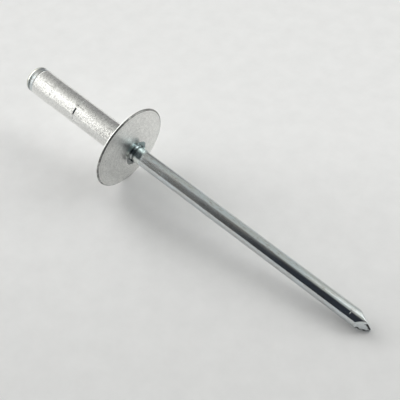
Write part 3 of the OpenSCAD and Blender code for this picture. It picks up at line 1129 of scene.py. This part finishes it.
def pale_floor(stage):
    """A pale matt surface, faintly mottled, its colour darkened a little towards the camera's side as
    painted light falloff. Far from the rivet, a seen or mirrored floor keeps one tone.
    """
    floor = Finish("pale_floor")
    place = floor.node("ShaderNodeNewGeometry").outputs["Position"]
    forward = floor.node("ShaderNodeVectorMath", Vector=place)
    forward.operation = "DOT_PRODUCT"
    forward.inputs[1].default_value = FLOOR_PAINTED_FALLOFF_DIRECTION
    # Painted light falloff: the floor's colour darkens towards the camera's side
    painted_falloff = floor.ramp(forward.outputs["Value"], FLOOR_PAINTED_FALLOFF_SPAN, FLOOR_PAINTED_FALLOFF)
    mottle = floor.noise(place, FLOOR_MOTTLE_SCALE, detail=4, rough=0.6)
    tone = floor.node("ShaderNodeVectorMath", Vector=tuple(stage.floor_colour))
    tone.operation = "SCALE"
    floor.feed(tone.inputs["Scale"], floor.times(painted_falloff, floor.ramp(mottle, (0.3, 0.7), FLOOR_MOTTLE)))
    floor.feed(floor.shader.inputs["Base Color"], tone.outputs["Vector"])
    floor.shader.inputs["Roughness"].default_value = FLOOR_ROUGHNESS
    floor.shader.inputs["Specular IOR Level"].default_value = FLOOR_SPECULAR
    path = floor.node("ShaderNodeLightPath").outputs
    seen = floor.maths("MAXIMUM", path["Is Camera Ray"], path["Is Glossy Ray"])
    even = floor.node("ShaderNodeEmission", Color=(*BACKDROP_COLOUR, 1), Strength=1.0)
    far = floor.ramp(floor.length(place), FLOOR_FAR)
    mix = floor.node("ShaderNodeMixShader", Fac=floor.times(far, seen))
    floor.feed(mix.inputs[1], floor.shader.outputs["BSDF"])
    floor.feed(mix.inputs[2], even.outputs["Emission"])
    floor.feed(floor.tree.nodes["Material Output"].inputs["Surface"], mix.outputs["Shader"])
    return floor.material


def make_camera(stage):
    """The camera, upright and looking at its target from its azimuth, elevation and distance."""
    data = bpy.data.cameras.new("camera")
    data.lens = stage.focal_length
    data.sensor_width = SENSOR_WIDTH
    data.clip_start, data.clip_end = CLIP_START, CLIP_END
    camera = bpy.data.objects.new("camera", data)
    bpy.context.scene.collection.objects.link(camera)
    turn, rise = stage.azimuth, stage.elevation
    back = Vector((math.sin(turn) * math.cos(rise), -math.cos(turn) * math.cos(rise), math.sin(rise)))
    camera.location = Vector(CAMERA_TARGET) + back * stage.distance
    camera.rotation_euler = back.to_track_quat("Z", "Y").to_euler()
    bpy.context.scene.camera = camera


def make_floor(stage):
    """The floor that the rivet lies on."""
    tool = bmesh.new()
    corners = [(-1, -1), (1, -1), (1, 1), (-1, 1)]
    tool.faces.new([tool.verts.new((x * FLOOR_HALF, y * FLOOR_HALF, 0)) for x, y in corners])
    mesh = bpy.data.meshes.new("floor")
    tool.to_mesh(mesh)
    tool.free()
    mesh.materials.append(pale_floor(stage))
    floor = bpy.data.objects.new("floor", mesh)
    bpy.context.scene.collection.objects.link(floor)


class Studio(Nodes):
    """The world's light by direction: X and Y run as on the floor, so a patch is a box seen from above."""

    def __init__(self):
        self.world = bpy.data.worlds.new("studio")
        self.world.use_nodes = True
        super().__init__(self.world.node_tree)
        heading = self.node("ShaderNodeTexCoord").outputs["Generated"]
        axes = self.node("ShaderNodeSeparateXYZ", Vector=heading).outputs
        self.x, self.y = axes["X"], axes["Y"]

    def slanted(self, by_x, by_y):
        """The sum of X and Y, each times its number."""
        return self.plus(self.times(self.x, by_x), self.times(self.y, by_y))

    def share(self, value, span):
        """A soft step from 0 to 1 over the span, which may run either way."""
        return self.ramp(value, span, kind="SMOOTHSTEP")

    def patch(self, x_range, y_range, edge):
        """1 inside a box of directions, with soft edges."""
        sides = []
        for value, (low, high) in ((self.x, x_range), (self.y, y_range)):
            sides.append(self.share(value, (low - edge, low + edge)))
            sides.append(self.share(value, (high + edge, high - edge)))
        return self.times(*sides)

    def shades(self, value, stops):
        """A colour by value, from stops of (value, colour)."""
        first, last = stops[0][0], stops[-1][0]
        value = self.maths("DIVIDE", self.maths("SUBTRACT", value, first), last - first)
        return self.colours(value, *(((place - first) / (last - first), colour) for place, colour in stops))


def make_world():
    """A room with a duller right side, a dark front, a pale left side, one dark bar and soft windows.

    The camera itself sees only the even backdrop.
    """
    studio = Studio()
    light = studio.mixed(studio.share(studio.x, RIGHT_EDGE), ROOM_COLOUR, RIGHT_COLOUR)
    bend = studio.times(studio.maths("MINIMUM", studio.x, FRONT_BEND_UP_TO), FRONT_BEND)
    front = studio.shades(studio.slanted(*FRONT_SLANT), FRONT_SHADES)
    light = studio.mixed(studio.share(studio.plus(studio.y, bend), FRONT_EDGE), light, front)
    low = studio.maths("MINIMUM", studio.plus(studio.y, -LEFT_LEAN_BELOW), 0.0)
    left_edge = studio.maths("SUBTRACT", studio.x, studio.times(low, LEFT_LEAN))
    left = studio.shades(studio.slanted(*LEFT_SLANT), LEFT_SHADES)
    light = studio.mixed(studio.share(left_edge, LEFT_EDGE), light, left)
    *bar, colour = WINDOW_BAR
    light = studio.mixed(studio.patch(*bar), light, colour)
    for *window, colour in WINDOWS:
        light = studio.mixed(studio.patch(*window), light, colour, mode="ADD")
    camera_ray = studio.node("ShaderNodeLightPath").outputs["Is Camera Ray"]
    light = studio.mixed(camera_ray, light, BACKDROP_COLOUR)
    studio.feed(studio.tree.nodes["Background"].inputs["Color"], light)
    bpy.context.scene.world = studio.world


def make_stage(settings):
    """The camera, the floor and the light, shown without a tone curve."""
    make_camera(settings.stage)
    make_floor(settings.stage)
    make_world()
    bpy.context.scene.view_settings.view_transform = "Standard"


# ---------------------------------------------------------------- operators and panel

class RIVET_OT_body(bpy.types.Operator):
    """Make the dented aluminium sleeve and its domed flange"""

    bl_idname = "blind_rivet.body"
    bl_label = "Rivet Body"
    bl_options = {"REGISTER", "UNDO"}

    def execute(self, context):
        piece = make_body(context.scene.blind_rivet)
        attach(piece, "root")
        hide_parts("rivet_body")
        return {"FINISHED"}


class RIVET_OT_mandrel(bpy.types.Operator):
    """Make the headed, crimped and pointed steel mandrel"""

    bl_idname = "blind_rivet.mandrel"
    bl_label = "Mandrel"
    bl_options = {"REGISTER", "UNDO"}

    def execute(self, context):
        piece = make_mandrel(context.scene.blind_rivet)
        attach(piece, "root")
        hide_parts("mandrel")
        return {"FINISHED"}


class RIVET_OT_stage(bpy.types.Operator):
    """Set up the camera, the pale floor and the soft light"""

    bl_idname = "blind_rivet.stage"
    bl_label = "Stage"
    bl_options = {"REGISTER", "UNDO"}

    def execute(self, context):
        make_stage(context.scene.blind_rivet)
        return {"FINISHED"}


class RIVET_PT_panel(bpy.types.Panel):
    """Sizes, colours and the operators that use them"""

    bl_idname = "RIVET_PT_panel"
    bl_label = "Blind Rivet"
    bl_space_type = "VIEW_3D"
    bl_region_type = "UI"
    bl_category = "Blind Rivet"

    def draw(self, context):
        settings = context.scene.blind_rivet
        for group, operator in (
            (settings.body, RIVET_OT_body),
            (settings.mandrel, RIVET_OT_mandrel),
            (settings.stage, RIVET_OT_stage),
        ):
            box = self.layout.box()
            for name in group.__annotations__:
                box.prop(group, name)
            box.operator(operator.bl_idname)


CLASSES = (
    RivetBodySettings,
    MandrelSettings,
    StageSettings,
    BlindRivetSettings,
    RIVET_OT_body,
    RIVET_OT_mandrel,
    RIVET_OT_stage,
    RIVET_PT_panel,
)


def register():
    for cls in CLASSES:
        bpy.utils.register_class(cls)
    bpy.types.Scene.blind_rivet = PointerProperty(type=BlindRivetSettings)


def unregister():
    del bpy.types.Scene.blind_rivet
    for cls in reversed(CLASSES):
        bpy.utils.unregister_class(cls)


def main():
    register()
    bpy.ops.blind_rivet.stage()
    bpy.ops.blind_rivet.body()
    bpy.ops.blind_rivet.mandrel()
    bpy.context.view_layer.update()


if __name__ == "__main__":
    main()
